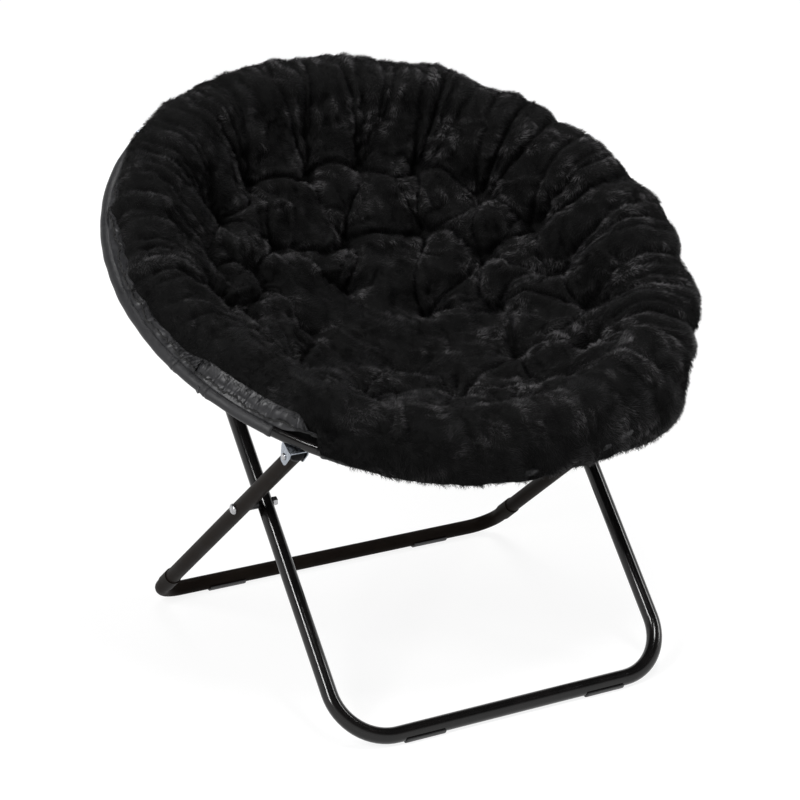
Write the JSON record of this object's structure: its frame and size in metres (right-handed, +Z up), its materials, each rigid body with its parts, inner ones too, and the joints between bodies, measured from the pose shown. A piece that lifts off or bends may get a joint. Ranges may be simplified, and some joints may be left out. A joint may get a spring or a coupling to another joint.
{
  "type": "folding saucer chair",
  "caption": "Folding saucer chair: a padded plush bowl seat on a round tubular hoop that folds at side hinges, carried by two crossed tubular legs.",
  "frame": {"origin": "on the floor, under the centre of the hoop", "axes": "+X across the chair, -Y is the front that a sitter faces, +Z up"},
  "size_m": [0.958, 0.8614, 0.8735],
  "materials": {
    "black_gloss_tube": "gloss powder coat",
    "zinc_plate": "zinc plated, slightly blue",
    "bright_fastener": "nickel plated",
    "hinge_steel": "black oxide",
    "black_plastic": "moulded, fine grain",
    "spacer_plastic": "moulded",
    "grey_woven_cloth": "plain woven polyester",
    "black_plush": "long-pile plush with a soft sheen"
  },
  "bodies": {
    "front_leg_frame": {"front_leg_tube": "black_gloss_tube", "front_leg_cap_left": "black_plastic", "front_leg_cap_right": "black_plastic", "pivot_stud_left": "bright_fastener", "pivot_stud_right": "bright_fastener", "pivot_spacer_left": "spacer_plastic", "pivot_spacer_right": "spacer_plastic", "pivot_nut_left": "bright_fastener", "pivot_nut_right": "bright_fastener", "front_glide_left": "black_plastic", "front_glide_right": "black_plastic"},
    "back_hoop": {"back_hoop_tube": "black_gloss_tube", "rear_bracket_left": "zinc_plate", "rear_bracket_right": "zinc_plate", "rear_bracket_rivet_left": "bright_fastener", "rear_bracket_rivet_right": "bright_fastener", "back_hinge_end_left": "hinge_steel", "back_hinge_end_right": "hinge_steel", "hinge_rivet_left": "bright_fastener", "hinge_rivet_right": "bright_fastener", "hoop_sleeve_back_left": "grey_woven_cloth", "hoop_sleeve_back_middle": "grey_woven_cloth", "hoop_sleeve_back_right": "grey_woven_cloth", "seat_cover_back": "grey_woven_cloth", "plush_cushion_back": "black_plush"},
    "front_hoop": {"front_hoop_tube": "black_gloss_tube", "front_bracket_left": "zinc_plate", "front_bracket_right": "zinc_plate", "front_bracket_rivet_left": "bright_fastener", "front_bracket_rivet_right": "bright_fastener", "front_hinge_end_left": "hinge_steel", "front_hinge_end_right": "hinge_steel", "hoop_sleeve_front_left": "grey_woven_cloth", "hoop_sleeve_front_middle": "grey_woven_cloth", "hoop_sleeve_front_right": "grey_woven_cloth", "seat_cover_front": "grey_woven_cloth", "plush_cushion_front": "black_plush", "plush_front_flap": "black_plush"},
    "rear_leg_frame": {"rear_foot_tube": "black_gloss_tube", "rear_leg_arm_left": "black_gloss_tube", "rear_leg_arm_right": "black_gloss_tube", "rear_leg_cap_left": "black_plastic", "rear_leg_cap_right": "black_plastic", "pivot_bolt_head_left": "bright_fastener", "pivot_bolt_head_right": "bright_fastener", "rear_glide_left": "black_plastic", "rear_glide_right": "black_plastic"}
  },
  "joints": [
    {"name": "hoop_fold", "type": "hinge", "parent": "back_hoop", "child": "front_hoop", "pos_m": [0, -0.16009, 0.55472], "axis": [1, 0, 0], "range_deg": [-156.9, 0], "deforming": ["seat_cover_back", "seat_cover_front", "plush_cushion_back", "plush_cushion_front"]},
    {"name": "back_hoop_tilt", "type": "hinge", "parent": "front_leg_frame", "child": "back_hoop", "pos_m": [0, 0.34668, 0.7702], "axis": [1, 0, 0], "range_deg": [0, 21.28]},
    {"name": "rear_leg_swing", "type": "hinge", "parent": "front_hoop", "child": "rear_leg_frame", "pos_m": [0, -0.28469, 0.46033], "axis": [1, 0, 0], "range_deg": [0, 67.72]}
  ],
  "couplings": [
    {"joint": "back_hoop_tilt", "follows": "hoop_fold", "ratio": -0.1353},
    {"joint": "rear_leg_swing", "follows": "hoop_fold", "ratio": -0.43126}
  ]
}
